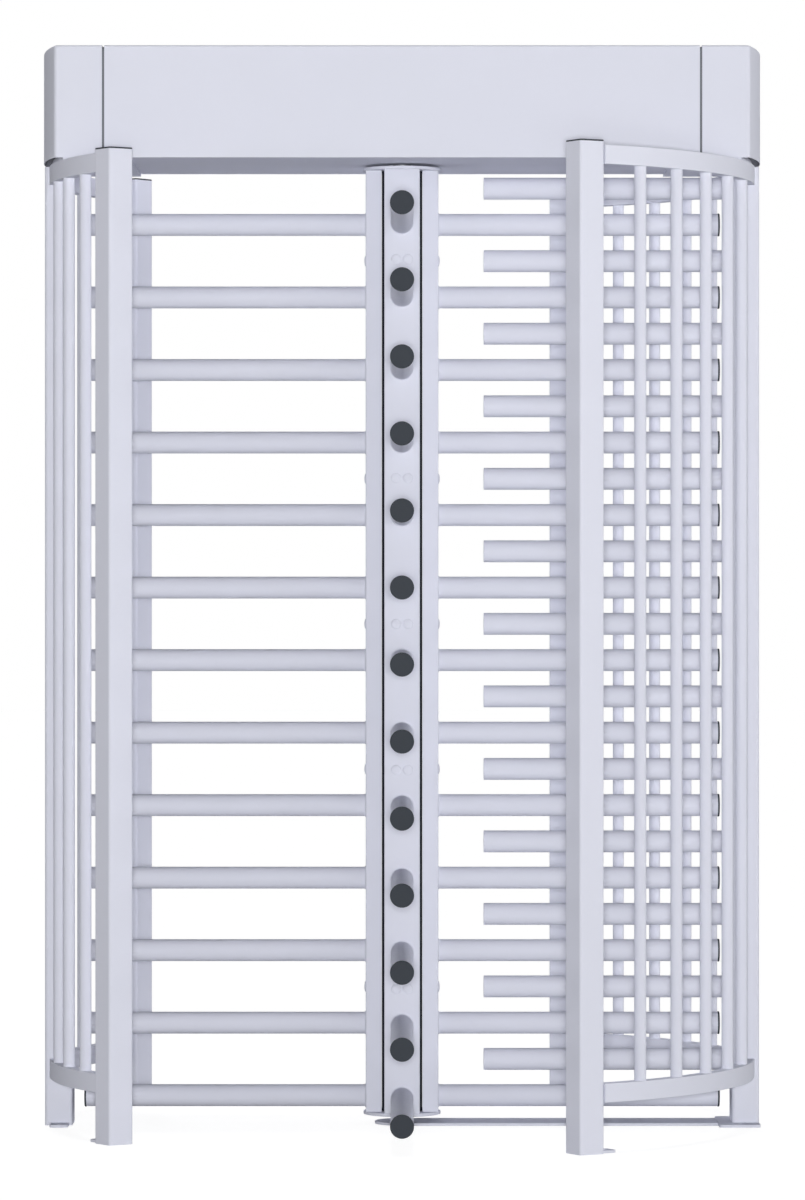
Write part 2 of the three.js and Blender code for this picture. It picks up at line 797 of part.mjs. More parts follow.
addRotor();
addFloorPlates();
addLegs();
addComb();
addPosts();
addScreens();
addCanopy();
addHeader();
addShaft();
addDamper();
addLocks();

export default turnstile;
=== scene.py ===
"""Full height turnstile: fine surfaces, finishes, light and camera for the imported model.

Lengths are in millimetres until Blender gets them, and angles in degrees. The rotor's axis
is +Z, the comb is on the side of +X, and the front, seen by the camera, is the side of -Y.
"""

import json
import math

import bmesh
import bpy
from mathutils import Matrix, Vector
from mathutils.geometry import delaunay_2d_cdt


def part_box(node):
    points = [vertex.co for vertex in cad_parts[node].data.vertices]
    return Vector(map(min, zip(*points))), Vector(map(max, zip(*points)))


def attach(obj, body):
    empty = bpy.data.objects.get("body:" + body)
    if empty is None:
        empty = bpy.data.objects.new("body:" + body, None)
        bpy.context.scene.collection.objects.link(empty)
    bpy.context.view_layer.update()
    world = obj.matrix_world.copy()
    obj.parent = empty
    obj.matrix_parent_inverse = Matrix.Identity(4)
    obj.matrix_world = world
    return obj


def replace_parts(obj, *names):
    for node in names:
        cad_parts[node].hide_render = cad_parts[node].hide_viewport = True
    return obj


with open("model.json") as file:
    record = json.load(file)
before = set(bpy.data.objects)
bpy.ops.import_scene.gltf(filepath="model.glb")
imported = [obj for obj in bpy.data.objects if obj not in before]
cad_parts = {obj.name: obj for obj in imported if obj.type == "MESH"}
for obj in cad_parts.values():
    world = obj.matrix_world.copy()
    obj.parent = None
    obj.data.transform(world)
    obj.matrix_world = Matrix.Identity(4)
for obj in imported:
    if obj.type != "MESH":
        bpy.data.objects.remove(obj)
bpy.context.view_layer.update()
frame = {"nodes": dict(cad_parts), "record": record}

MM = 0.001  # metres

# Rotor
ARM_DIAMETER = 48.3
ARM_REACH = 700
ARM_PITCH = 160
ARM_COUNT = 13
LOWEST_ARM = 62
ARM_CAP = 4
ARM_CAP_PROUD = 1
ARM_CAP_EDGE = 1.6
ARM_WELD = 2.4
ARM_WELD_SHARES = ((1, 0), (1 / 3, 1 / 2), (0, 1))  # out from the tube, and on from the channel
WINGS = {"right": 0, "back": 90, "left": 180, "front": 270}
COLUMN_HALF = 80
COLUMN_BOTTOM = 29
COLUMN_TOP = 2099
CHANNEL_WIDTH = 78
CHANNEL_DEPTH = 35
CHANNEL_WALL = 4
CHANNEL_BEND = 3.5
CORE_DIAMETER = 88.9
CORE_WALL = 5
DISC_DIAMETER = 170
DISC_THICKNESS = 7
DISC_EDGE = 1.5
SEAT_GAP = 0.3
PIVOT_BORE = 24.8
DRAIN = 20
SCREW_LEVELS = (302, 782, 1102, 1422, 1902)
SCREW_SPACING = 26
SCREW_HEAD = 22
SCREW_PROUD = 3
SCREW_SINK = 0.6

# Comb
COMB_EDGE = 1.2

# Legs and floor plates
LEG_OUTER = 785
LEG_WIDTH = 60
LEG_DEPTH = 100
LEG_WALL = 4
LEG_CORNER = 8
LEG_TOP = 2106
FOOT_THICKNESS = 6
FOOT_CORNER = 8
FOOT_BAR_WIDTH = 40
FOOT_BAR_INSET = 33
RAIL_WIDTH = 120
RAIL_END = 694.7
PLATE_EDGE = 1.2

# Posts and screens
POST_SIZE = 60
POST_WALL = 3
POST_CORNER = 6
POST_TOP = 2112.7
POST_CAP = 3
POST_CAP_EDGE = 1
TAB_REACH = 67
TAB_WIDTH = 40
ANCHOR_HOLE = 12
ANCHOR_INSET = 22
SCREEN_INNER = 746
RING_WIDTH = 30
RING_HEIGHT = 40
RING_EDGE = 1.5
LOWER_RING = 107
BAR_DIAMETER = 25.4
BAR_WELD = 1.2
SIDES = {
    # Offsets are outwards from the inner side of the rings, and angles are from the leg.
    "left": {"sign": -1, "post_offset": 8, "post_angle": 35.7, "bars": (11.2, 19.1, 27.0)},
    "right": {"sign": 1, "post_offset": -3, "post_angle": 59.1, "bars": (14.5, 23.1, 31.7, 40.3, 48.9)},
}
ENDS = {"front": -1, "back": 1}

# Canopy
CANOPY_DEPTH = 475
CANOPY_BOTTOM = 2112
CANOPY_TOP = 2355
CANOPY_RADIUS = 788
CANOPY_SHEET = 3
CANOPY_BEND = 6
COVER_EDGE = 0.5
END_CAP_BEND = 9
SEAM_MIDDLE = 646.5
SEAM_GAP = 5
# A strip behind each seam of the canopy, grey as painted shade in the seam
SEAM_STRIP_WIDTH = 24
SEAM_STRIP_THICKNESS = 2
SEAM_STRIP_BEND = 8

# Fineness
TUBE_SIDES = 48
DISC_SIDES = 128
CORNER_STEPS = 6
EDGE_STEPS = 3
DOME_STEPS = 9
ARC_STEP = 1.5
OVERRUN = 2
SHARP = 32
BEVEL_SEGMENTS = 2
NODE_EDGE = 0.6
NODE_SHARP = 50
EVENING = 100  # at 50 a face counts by its size alone, and at 100 large faces count most
CUT_TYPE = 5  # filled faces, with the holes left out
MERGE_GAP = 1e-3

# Coats, with scales in waves per metre
TONE_SCALE = 2.3
TONE_DETAIL = 3
TONE_ROUGHNESS = 0.5
ROUGHNESS_SHIFTS = (-0.05, 0.07)
GRAIN_DETAIL = 2
GRAIN_ROUGHNESS = 0.6
GRAIN_STRENGTH = 0.25
GRAIN_DEPTH = 0.1

# Bare metal
BRUSH_SCALE = 180
BRUSH_DETAIL = 3
BRUSH_SHIFT = 0.1
BRUSH_STRENGTH = 0.15
BRUSH_DEPTH = 0.2

# Camera and light
FOCAL_LENGTH = 161.4
SENSOR = 36
CAMERA_AT = (1, -11870, 1180)
CAMERA_AIM = (1, 0, 1154.6)
FLOOR_HALF = 40000
FLOOR_COLOUR = (0.6, 0.6, 0.6, 1)
FLOOR_WHITE = 1.5
FLOOR_WHITE_SHARE = 0.6
WHITE = (1, 1, 1, 1)
WORLD_COLOUR = (0.93, 0.95, 1, 1)
WORLD_LIGHT = 0.04
FRONT_LAMP = 3100  # watts
FRONT_LAMP_RADIUS = 300
FAR_LAMPS = (
    # The way it shines, watts per square metre, degrees across
    ("right_lamp", (-0.866, 0.5, -0.05), 0.95, 20),
    ("left_lamp", (0.866, 0.5, -0.05), 0.35, 20),
    ("right_side_lamp", (-0.97, -0.24, -0.04), 1, 20),
    ("left_side_lamp", (0.97, -0.24, -0.04), 0.5, 20),
    ("back_lamp", (0.15, -1, -0.08), 2.7, 15),
    ("top_lamp", (0, 0, -1), 0.8, 5),
)


# Shapes
def polar(radius, degrees):
    """A point at a radius and an angle from +X."""
    turn = math.radians(degrees)
    return (radius * math.cos(turn), radius * math.sin(turn))


def arc(radius, start, end, steps, middle=(0, 0)):
    """Points of an arc about a middle."""
    points = [polar(radius, start + (end - start) * i / steps) for i in range(steps + 1)]
    return [(middle[0] + x, middle[1] + y) for x, y in points]


def rounded(width, depth, corner, middle=(0, 0), steps=CORNER_STEPS):
    """Points of a rectangle with rounded corners, anticlockwise."""
    right, back = width / 2 - corner, depth / 2 - corner
    corners = ((right, back, 0), (-right, back, 90), (-right, -back, 180), (right, -back, 270))
    points = []
    for x, y, start in corners:
        points += arc(corner, start, start + 90, steps, (middle[0] + x, middle[1] + y))
    return points


def circle(diameter, sides, middle=(0, 0)):
    """Points of a circle."""
    return arc(diameter / 2, 0, 360 - 360 / sides, sides - 1, middle)


class Shape:
    """Corners and faces in millimetres, to which more can be added."""

    def __init__(self):
        self.corners = []
        self.faces = []

    def add(self, corners, faces):
        start = len(self.corners)
        self.corners += [Vector(c) for c in corners]
        self.faces += [[start + i for i in face] for face in faces]
        return self

    def join(self, other, matrix=None):
        moved = [matrix @ c for c in other.corners] if matrix else other.corners
        return self.add(moved, other.faces)


def lathe(profile, sides):
    """(radius, height) points turned about Z.

    Points that start and end on the axis give a solid, and all others give a tube.
    """
    corners, rows = [], []
    for radius, height in profile:
        if radius == 0:
            rows.append([len(corners)])
            corners.append((0, 0, height))
        else:
            rows.append([len(corners) + i for i in range(sides)])
            corners += [(*polar(radius, 360 * i / sides), height) for i in range(sides)]
    solid = profile[0][0] == 0 and profile[-1][0] == 0
    pairs = list(zip(rows, rows[1:]))
    if not solid:
        pairs.append((rows[-1], rows[0]))
    faces = []
    for low, high in pairs:
        for i in range(sides):
            j = (i + 1) % sides
            face = [low[i % len(low)], low[j % len(low)], high[j % len(high)], high[i % len(high)]]
            faces.append([c for k, c in enumerate(face) if c not in face[:k]])
    return Shape().add(corners, faces)


def skin(loops, closed):
    """A skin through loops of equally many points, which meet their own starts if closed."""
    count = len(loops[0])
    faces = []
    for row in range(len(loops) - 1):
        low, high = row * count, (row + 1) * count
        for i in range(count if closed else count - 1):
            j = (i + 1) % count
            faces.append([low + i, low + j, high + j, high + i])
    return Shape().add([point for loop in loops for point in loop], faces)


def end_faces(loops):
    """The faces that fill the first and the last of a skin's loops."""
    count = len(loops[0])
    last = (len(loops) - 1) * count
    return [list(reversed(range(count))), list(range(last, last + count))]


def loft(loops):
    """A solid through loops of equally many points."""
    solid = skin(loops, closed=True)
    solid.faces += end_faces(loops)
    return solid


def prism(outline, bottom, top, holes=()):
    """An upright plate or tube of an outline, with holes right through it."""
    points, loops = [], []
    for loop in (outline, *holes):
        loops.append([len(points) + i for i in range(len(loop))])
        points += [Vector(p) for p in loop]
    flat, _, found, *_ = delaunay_2d_cdt(points, [], loops, CUT_TYPE, MERGE_GAP)
    count = len(flat)
    corners = [(p.x, p.y, bottom) for p in flat] + [(p.x, p.y, top) for p in flat]
    faces = [list(reversed(face)) for face in found] + [[count + i for i in face] for face in found]
    for loop in loops:
        for i, first in enumerate(loop):
            second = loop[(i + 1) % len(loop)]
            faces.append([first, second, count + second, count + first])
    return Shape().add(corners, faces)


def cleaned(mesh):
    """Joins corners that meet and turns every face outwards."""
    grid = bmesh.new()
    grid.from_mesh(mesh)
    bmesh.ops.remove_doubles(grid, verts=grid.verts, dist=MERGE_GAP * MM)
    bmesh.ops.recalc_face_normals(grid, faces=grid.faces)
    grid.to_mesh(mesh)
    grid.free()


def round_edges(made, width, angle):
    """Rounds the edges at which an object's faces turn by more than an angle."""
    bevel = made.modifiers.new("edges", "BEVEL")
    bevel.width = width * MM
    bevel.segments = BEVEL_SEGMENTS
    bevel.limit_method = "ANGLE"
    bevel.angle_limit = math.radians(angle)
    return bevel


def piece(name, shape, finish, body, matrix=None, edge=0):
    """A finished piece of a shape, which rides on a body; edge is the width of its rounded edges."""
    mesh = bpy.data.meshes.new(name)
    moved = [matrix @ c for c in shape.corners] if matrix else shape.corners
    mesh.from_pydata([c * MM for c in moved], [], shape.faces)
    cleaned(mesh)
    mesh.materials.append(finish)
    made = bpy.data.objects.new(name, mesh)
    bpy.context.scene.collection.objects.link(made)
    if edge:
        round_edges(made, edge, SHARP).harden_normals = True
    mesh.shade_smooth()
    mesh.set_sharp_from_angle(angle=math.radians(SHARP))
    evened = made.modifiers.new("flat faces stay flat", "WEIGHTED_NORMAL")
    evened.mode = "FACE_AREA"
    evened.weight = EVENING
    evened.keep_sharp = True
    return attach(made, body)


def about_z(degrees):
    """Turns a piece about the rotor's axis."""
    return Matrix.Rotation(math.radians(degrees), 4, "Z")


def along_x():
    """Lays a piece that was made along Z along +X."""
    return Matrix.Rotation(math.radians(90), 4, "Y")


# Lays an outline drawn in Y and Z along X.
UPRIGHT = Matrix(((0, 0, 1, 0), (1, 0, 0, 0), (0, 1, 0, 0), (0, 0, 0, 1)))


def shifted(x, y, z):
    """Moves a piece without turning it."""
    return Matrix.Translation((x, y, z))


# Finishes
class Nodes:
    """Builds a material's or world's nodes."""

    def __init__(self, owner):
        owner.use_nodes = True
        self.tree = owner.node_tree
        self.tree.nodes.clear()

    def make(self, kind, **settings):
        node = self.tree.nodes.new(kind)
        for key, value in settings.items():
            setattr(node, key, value)
        return node

    def link(self, source, target):
        self.tree.links.new(source, target)

    def noise(self, scale, detail, roughness):
        """Noise over an object's own coordinates."""
        place = self.make("ShaderNodeTexCoord")
        made = self.make("ShaderNodeTexNoise")
        made.inputs["Scale"].default_value = scale
        made.inputs["Detail"].default_value = detail
        made.inputs["Roughness"].default_value = roughness
        self.link(place.outputs["Object"], made.inputs["Vector"])
        return made.outputs["Fac"]

    def spread(self, source, low, high):
        """Maps 0 to 1 onto low to high."""
        made = self.make("ShaderNodeMapRange")
        made.inputs["To Min"].default_value = low
        made.inputs["To Max"].default_value = high
        self.link(source, made.inputs["Value"])
        return made.outputs["Result"]

    def blend(self, factor, first, second):
        """Blends two colours, each a value or a node's output."""
        made = self.make("ShaderNodeMix", data_type="RGBA")
        self.link(factor, made.inputs["Factor"])
        for value, place in ((first, "A"), (second, "B")):
            socket = [s for s in made.inputs if s.name == place and s.type == "RGBA"][0]
            if isinstance(value, tuple):
                socket.default_value = (*value, 1)
            else:
                self.link(value, socket)
        return [s for s in made.outputs if s.type == "RGBA"][0]

    def bump(self, source, strength, distance):
        made = self.make("ShaderNodeBump")
        made.inputs["Strength"].default_value = strength
        made.inputs["Distance"].default_value = distance
        self.link(source, made.inputs["Height"])
        return made.outputs["Normal"]


def linear(red, green, blue):
    """A colour as it shows on a screen, from 0 to 255, as light."""

    def one(value):
        share = value / 255
        return share / 12.92 if share <= 0.04045 else ((share + 0.055) / 1.055) ** 2.4

    return (one(red), one(green), one(blue))


def coated(name, colour, shade, speck, roughness, gloss, grain):
    """A coated or moulded surface: a slow change of shade, fine specks and a fine grain."""
    material = bpy.data.materials.new(name)
    nodes = Nodes(material)
    surface = nodes.make("ShaderNodeBsdfPrincipled")
    out = nodes.make("ShaderNodeOutputMaterial")
    slow = nodes.spread(nodes.noise(TONE_SCALE, TONE_DETAIL, TONE_ROUGHNESS), 0, 1)
    fine = nodes.spread(nodes.noise(grain, GRAIN_DETAIL, GRAIN_ROUGHNESS), 0, 1)
    toned = nodes.blend(slow, linear(*colour), linear(*shade))
    specked = nodes.blend(nodes.spread(fine, 0, speck), toned, linear(*shade))
    low, high = ROUGHNESS_SHIFTS
    nodes.link(specked, surface.inputs["Base Color"])
    nodes.link(nodes.spread(slow, roughness + low, roughness + high), surface.inputs["Roughness"])
    nodes.link(nodes.bump(fine, GRAIN_STRENGTH, GRAIN_DEPTH * MM), surface.inputs["Normal"])
    surface.inputs["Specular IOR Level"].default_value = gloss
    nodes.link(surface.outputs["BSDF"], out.inputs["Surface"])
    return material


def machined(name, colour, shade, roughness, brush):
    """Bare or plated metal; brush is how much finer its grain is along X, Y and Z."""
    material = bpy.data.materials.new(name)
    nodes = Nodes(material)
    surface = nodes.make("ShaderNodeBsdfPrincipled")
    out = nodes.make("ShaderNodeOutputMaterial")
    place = nodes.make("ShaderNodeTexCoord")
    stretch = nodes.make("ShaderNodeMapping")
    stretch.inputs["Scale"].default_value = brush
    noise = nodes.make("ShaderNodeTexNoise")
    noise.inputs["Scale"].default_value = BRUSH_SCALE
    noise.inputs["Detail"].default_value = BRUSH_DETAIL
    nodes.link(place.outputs["Object"], stretch.inputs["Vector"])
    nodes.link(stretch.outputs["Vector"], noise.inputs["Vector"])
    grain = noise.outputs["Fac"]
    low, high = roughness - BRUSH_SHIFT, roughness + BRUSH_SHIFT
    nodes.link(nodes.blend(grain, linear(*colour), linear(*shade)), surface.inputs["Base Color"])
    nodes.link(nodes.spread(grain, low, high), surface.inputs["Roughness"])
    nodes.link(nodes.bump(grain, BRUSH_STRENGTH, BRUSH_DEPTH * MM), surface.inputs["Normal"])
    surface.inputs["Metallic"].default_value = 1
    nodes.link(surface.outputs["BSDF"], out.inputs["Surface"])
    return material


# Colour, shade, share of specks, roughness, gloss and scale of the grain.
PAINT = coated("silver_paint", (223, 224, 236), (216, 218, 229), 0.5, 0.6, 0, 900)
# Painted shade: the core tube's near black stands for the deep shade in the grooves between the
# channels.
CORE_GROOVE_SHADE = coated("core_painted_groove_shade", (56, 59, 74), (48, 51, 66), 0.5, 0.7, 0, 900)
# Painted shade: the grey of the strips behind the canopy's seams stands for the shade inside the seams.
SEAM_SHADE_GREY = coated("seam_strip_painted_shade", (128, 131, 138), (120, 123, 130), 0.5, 0.8, 0, 900)
CAP_PLASTIC = coated("cap_plastic", (66, 70, 76), (58, 62, 68), 0.6, 0.6, 0.05, 1400)
BOX_PLASTIC = coated("box_plastic", (154, 157, 163), (144, 147, 152), 0.5, 0.6, 0.3, 1100)

# Colour, shade, roughness and brush.
STEEL = machined("machined_steel", (172, 175, 178), (152, 155, 160), 0.35, (1, 1, 14))
ZINC = machined("zinc_plate", (184, 187, 188), (167, 170, 171), 0.45, (4, 4, 1))
BRONZE = machined("bronze", (178, 142, 90), (158, 122, 74), 0.4, (1, 1, 10))

FINISHES = {
    # By the slots of the record
    "paint": PAINT,
    "dark_plastic": CAP_PLASTIC,
    "steel": STEEL,
    "zinc": ZINC,
    "bronze": BRONZE,
    "box_plastic": BOX_PLASTIC,
}


# Rotor
def channel_outline():
    """A pressed channel, open towards the axis, with rounded bends."""
    half, inner = CHANNEL_WIDTH / 2, COLUMN_HALF - CHANNEL_DEPTH
    bend_x, bend_y = COLUMN_HALF - CHANNEL_BEND, half - CHANNEL_BEND
    web, flange = COLUMN_HALF - CHANNEL_WALL, half - CHANNEL_WALL
    outside = arc(CHANNEL_BEND, -90, 0, CORNER_STEPS, (bend_x, -bend_y))
    outside += arc(CHANNEL_BEND, 0, 90, CORNER_STEPS, (bend_x, bend_y))
    inside = [(inner, flange), (web, flange), (web, -flange), (inner, -flange)]
    return [(inner, -half), *outside, (inner, half), *inside]


def arm_tube():
    """A tube from the channel to its cap, along Z, with a weld bead at its foot."""
    radius, start, end = ARM_DIAMETER / 2, COLUMN_HALF - OVERRUN, ARM_REACH - ARM_CAP
    profile = [(0, start), (radius + ARM_WELD, start)]
    profile += [(radius + out * ARM_WELD, COLUMN_HALF + on * ARM_WELD) for out, on in ARM_WELD_SHARES]
    return lathe([*profile, (radius, end), (0, end)], TUBE_SIDES)


def arm_cap():
    """A flat moulded cap, a little wider than its tube and with a rounded edge, along Z."""
    radius, edge, foot = ARM_DIAMETER / 2 + ARM_CAP_PROUD, ARM_CAP_EDGE, ARM_REACH - ARM_CAP
    rim = arc(edge, 0, 90, CORNER_STEPS, (radius - edge, ARM_REACH - edge))
    return lathe([(0, foot), (radius, foot), *rim, (0, ARM_REACH)], TUBE_SIDES)


def screw_head():
    """A domed head on a channel's face, along Z."""
    radius, low = SCREW_HEAD / 2, COLUMN_HALF - SCREW_SINK
    quarter = arc(1, 0, 90, DOME_STEPS)[:-1]
    dome = [(radius * x, COLUMN_HALF + SCREW_PROUD * y) for x, y in quarter]
    return lathe([(0, low), (radius, low), *dome, (0, COLUMN_HALF + SCREW_PROUD)], TUBE_SIDES)


def build_wing(name, degrees):
    """A channel with its arms, caps and screws."""
    turn = about_z(degrees)
    channel = prism(channel_outline(), COLUMN_BOTTOM, COLUMN_TOP)
    steel = piece(f"channel_{name}", channel, PAINT, "rotor", matrix=turn)
    arms, caps, screws = Shape(), Shape(), Shape()
    for i in range(ARM_COUNT):
        place = shifted(0, 0, LOWEST_ARM + i * ARM_PITCH) @ along_x()
        arms.join(arm_tube(), place)
        caps.join(arm_cap(), place)
    for level in SCREW_LEVELS:
        for y in (-SCREW_SPACING / 2, SCREW_SPACING / 2):
            screws.join(screw_head(), shifted(0, y, level) @ along_x())
    piece(f"arms_{name}", arms, PAINT, "rotor", matrix=turn)
    piece(f"arm_caps_{name}", caps, CAP_PLASTIC, "rotor", turn)
    piece(f"screws_{name}", screws, PAINT, "rotor", matrix=turn)
    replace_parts(steel, f"wing_{name}")


def end_disc(bore, bottom):
    """A disc with rounded edges and a bore."""
    rim, top = DISC_DIAMETER / 2, bottom + DISC_THICKNESS
    lower_edge = arc(DISC_EDGE, -90, 0, EDGE_STEPS, (rim - DISC_EDGE, bottom + DISC_EDGE))
    upper_edge = arc(DISC_EDGE, 0, 90, EDGE_STEPS, (rim - DISC_EDGE, top - DISC_EDGE))
    return lathe([(bore / 2, bottom), *lower_edge, *upper_edge, (bore / 2, top)], DISC_SIDES)


def build_core():
    """The tube inside the channels, near black as painted shade in the grooves between them, and the
    painted discs at its ends.
    """
    outer, inner = CORE_DIAMETER / 2, CORE_DIAMETER / 2 - CORE_WALL
    low, high = COLUMN_BOTTOM - SEAT_GAP, COLUMN_TOP + SEAT_GAP
    tube = lathe([(inner, low), (outer, low), (outer, high), (inner, high)], DISC_SIDES)
    discs = end_disc(PIVOT_BORE, low - DISC_THICKNESS).join(end_disc(DRAIN, high))
    piece("core_tube", tube, CORE_GROOVE_SHADE, "rotor")
    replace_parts(piece("end_discs", discs, PAINT, "rotor"), "rotor_core")


def build_rotor():
    """The four wings, the core and its discs."""
    for name, degrees in WINGS.items():
        build_wing(name, degrees)
    build_core()


# Comb
def build_comb():
    """Each bar from its free end to the leg."""
    for i in range(ARM_COUNT):
        node = f"comb_bar_{i + 1:02d}"
        low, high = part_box(node)
        start, end, level = low.x / MM, high.x / MM, (low.z + high.z) / 2 / MM
        radius, edge = ARM_DIAMETER / 2, COMB_EDGE
        rim = arc(edge, -90, 0, EDGE_STEPS, (radius - edge, start + edge))
        tube = lathe([(0, start), *rim, (radius, end), (0, end)], TUBE_SIDES)
        place = shifted(0, 0, level) @ along_x()
        made = piece(f"comb_tube_{i + 1:02d}", tube, PAINT, "frame", matrix=place)
        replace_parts(made, node)


# Legs and floor plates
def cut(made, cutter):
    """Takes a closed shape out of a piece's mesh."""
    mesh = bpy.data.meshes.new("cutter")
    mesh.from_pydata([c * MM for c in cutter.corners], [], cutter.faces)
    cleaned(mesh)
    tool = bpy.data.objects.new("cutter", mesh)
    bpy.context.scene.collection.objects.link(tool)
    step = made.modifiers.new("cut", "BOOLEAN")
    step.operation = "DIFFERENCE"
    step.solver = "EXACT"
    step.object = tool
    bpy.context.view_layer.update()
    solved = made.evaluated_get(bpy.context.evaluated_depsgraph_get())
    carved = bpy.data.meshes.new_from_object(solved)
    made.modifiers.remove(step)
    made.data = carved
    bpy.data.objects.remove(tool)


def build_legs():
    """The two square legs; the left one stands over its foot bar."""
    for side, values in SIDES.items():
        middle = (values["sign"] * (LEG_OUTER - LEG_WIDTH / 2), 0)
        outside = rounded(LEG_WIDTH, LEG_DEPTH, LEG_CORNER, middle)
        hollow = (LEG_WIDTH - 2 * LEG_WALL, LEG_DEPTH - 2 * LEG_WALL)
        inside = rounded(*hollow, LEG_CORNER - LEG_WALL, middle)
        bottom = 0 if side == "left" else FOOT_THICKNESS + SEAT_GAP
        made = piece(f"square_leg_{side}", prism(outside, bottom, LEG_TOP, [inside]), PAINT, "frame")
        if side == "left":
            foot = (FOOT_BAR_INSET - LEG_OUTER, 0)
            slot = rounded(FOOT_BAR_WIDTH + 2 * SEAT_GAP, 2 * LEG_DEPTH, SEAT_GAP, foot)
            cut(made, prism(slot, -OVERRUN, FOOT_THICKNESS + SEAT_GAP))
        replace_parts(made, f"leg_{side}")


def build_rail():
    """The flat rail on the floor, with its round end under the rotor."""
    half, steps = RAIL_WIDTH / 2, round(90 / ARC_STEP)
    outline = [*arc(half, 90, 270, steps), (RAIL_END, -half), (RAIL_END, half)]
    rail = piece("flat_rail", prism(outline, 0, FOOT_THICKNESS), PAINT, "frame", edge=PLATE_EDGE)
    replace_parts(rail, "floor_rail")


# Posts and screens
def side_angle(sign, end, degrees):
    """The angle from +X of what stands at an angle off a side's leg."""
    return end * degrees if sign > 0 else 180 - end * degrees


def foot_tab(towards):
    """A flat tab with an anchor hole, which reaches out of a post along +Y or -Y."""
    start = (POST_SIZE - POST_WALL) / 2
    length = TAB_REACH - start
    outline = rounded(TAB_WIDTH, length, FOOT_CORNER, (0, towards * (start + length / 2)))
    hole = circle(ANCHOR_HOLE, TUBE_SIDES, (0, towards * (TAB_REACH - ANCHOR_INSET)))
    return prism(outline, 0, FOOT_THICKNESS, [hole])


def build_posts():
    """Square posts, each with a foot tab on the side of its leg and a plastic cap."""
    hollow = POST_SIZE - 2 * POST_WALL
    outside = rounded(POST_SIZE, POST_SIZE, POST_CORNER)
    inside = rounded(hollow, hollow, POST_CORNER - POST_WALL)
    seat = POST_TOP + SEAT_GAP
    tube = prism(outside, 0, POST_TOP, [inside])
    cap = prism(outside, seat, seat + POST_CAP)
    for side, values in SIDES.items():
        for end_name, end in ENDS.items():
            turn = side_angle(values["sign"], end, values["post_angle"])
            x, y = polar(SCREEN_INNER + values["post_offset"], turn)
            place = shifted(x, y, 0) @ about_z(turn)
            made = piece(f"square_post_{end_name}_{side}", tube, PAINT, "frame", matrix=place)
            tab = foot_tab(-values["sign"] * end)
            piece(f"foot_tab_{end_name}_{side}", tab, PAINT, "frame", matrix=place, edge=PLATE_EDGE)
            lid = piece(f"cap_{end_name}_{side}", cap, CAP_PLASTIC, "frame",
                        matrix=place, edge=POST_CAP_EDGE)
            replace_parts(made, f"post_{end_name}_{side}")
            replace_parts(lid, f"post_cap_{end_name}_{side}")


def ring_section(bottom):
    """(radius, level) points of a ring's rounded section."""
    middle = (SCREEN_INNER + RING_WIDTH / 2, bottom + RING_HEIGHT / 2)
    return rounded(RING_WIDTH, RING_HEIGHT, RING_EDGE, middle, EDGE_STEPS)


def half_angle(size, radius):
    """The angle at the rotor's axis from the middle of a size to just beyond its side."""
    return math.degrees(math.asin((size / 2 + SEAT_GAP) / radius))


def ring_loops(post_angle, bottom):
    """Sections of a curved ring from the leg's face to the post's face."""
    section = ring_section(bottom)
    starts = [half_angle(LEG_DEPTH, radius) for radius, _ in section]
    stops = [post_angle - half_angle(POST_SIZE, radius) for radius, _ in section]
    steps = math.ceil(post_angle / ARC_STEP)
    loops = []
    for i in range(steps + 1):
        angles = [a + (b - a) * i / steps for a, b in zip(starts, stops)]
        loops.append([(*polar(r, angle), level) for (r, level), angle in zip(section, angles)])
    return loops


def screen_bar(bottom, top):
    """A round bar between two rings, with a small weld bead at each end."""
    radius, bead = BAR_DIAMETER / 2, BAR_DIAMETER / 2 + BAR_WELD
    low = [(0, bottom - OVERRUN), (bead, bottom - OVERRUN), (bead, bottom), (radius, bottom + BAR_WELD)]
    high = [(radius, top - BAR_WELD), (bead, top), (bead, top + OVERRUN), (0, top + OVERRUN)]
    return lathe(low + high, TUBE_SIDES)


def build_screens():
    """Two rings and the bars between them, from each leg to each post."""
    upper = LEG_TOP - RING_HEIGHT
    for side, values in SIDES.items():
        for end_name, end in ENDS.items():
            mirror = Matrix.Diagonal((values["sign"], end, 1, 1))
            rings, bars = Shape(), Shape()
            for bottom in (LOWER_RING, upper):
                rings.join(loft(ring_loops(values["post_angle"], bottom)))
            for angle in values["bars"]:
                x, y = polar(SCREEN_INNER + RING_WIDTH / 2, angle)
                bars.join(screen_bar(LOWER_RING + RING_HEIGHT, upper), shifted(x, y, 0))
            made = piece(f"rings_{end_name}_{side}", rings, PAINT, "frame", matrix=mirror)
            piece(f"bars_{end_name}_{side}", bars, PAINT, "frame", matrix=mirror)
            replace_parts(made, f"screen_{end_name}_{side}")


# Canopy
def fold(inset, bend):
    """A line up the back, over the top and down the front, at an inset from the cover's skin."""
    y, z = CANOPY_DEPTH / 2 - inset, CANOPY_TOP - inset
    back = arc(bend, 0, 90, CORNER_STEPS, (y - bend, z - bend))
    front = arc(bend, 90, 180, CORNER_STEPS, (bend - y, z - bend))
    return [(y, CANOPY_BOTTOM), *back, *front, (-y, CANOPY_BOTTOM)]


def build_cover():
    """The folded middle cover, open below and at its ends."""
    reach = SEAM_MIDDLE - SEAM_GAP / 2
    outline = [*fold(0, CANOPY_BEND), *reversed(fold(CANOPY_SHEET, CANOPY_BEND - CANOPY_SHEET))]
    shape = prism(outline, -reach, reach)
    cover = piece("middle_cover", shape, PAINT, "frame", matrix=UPRIGHT, edge=COVER_EDGE)
    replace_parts(cover, "canopy_centre_cover")


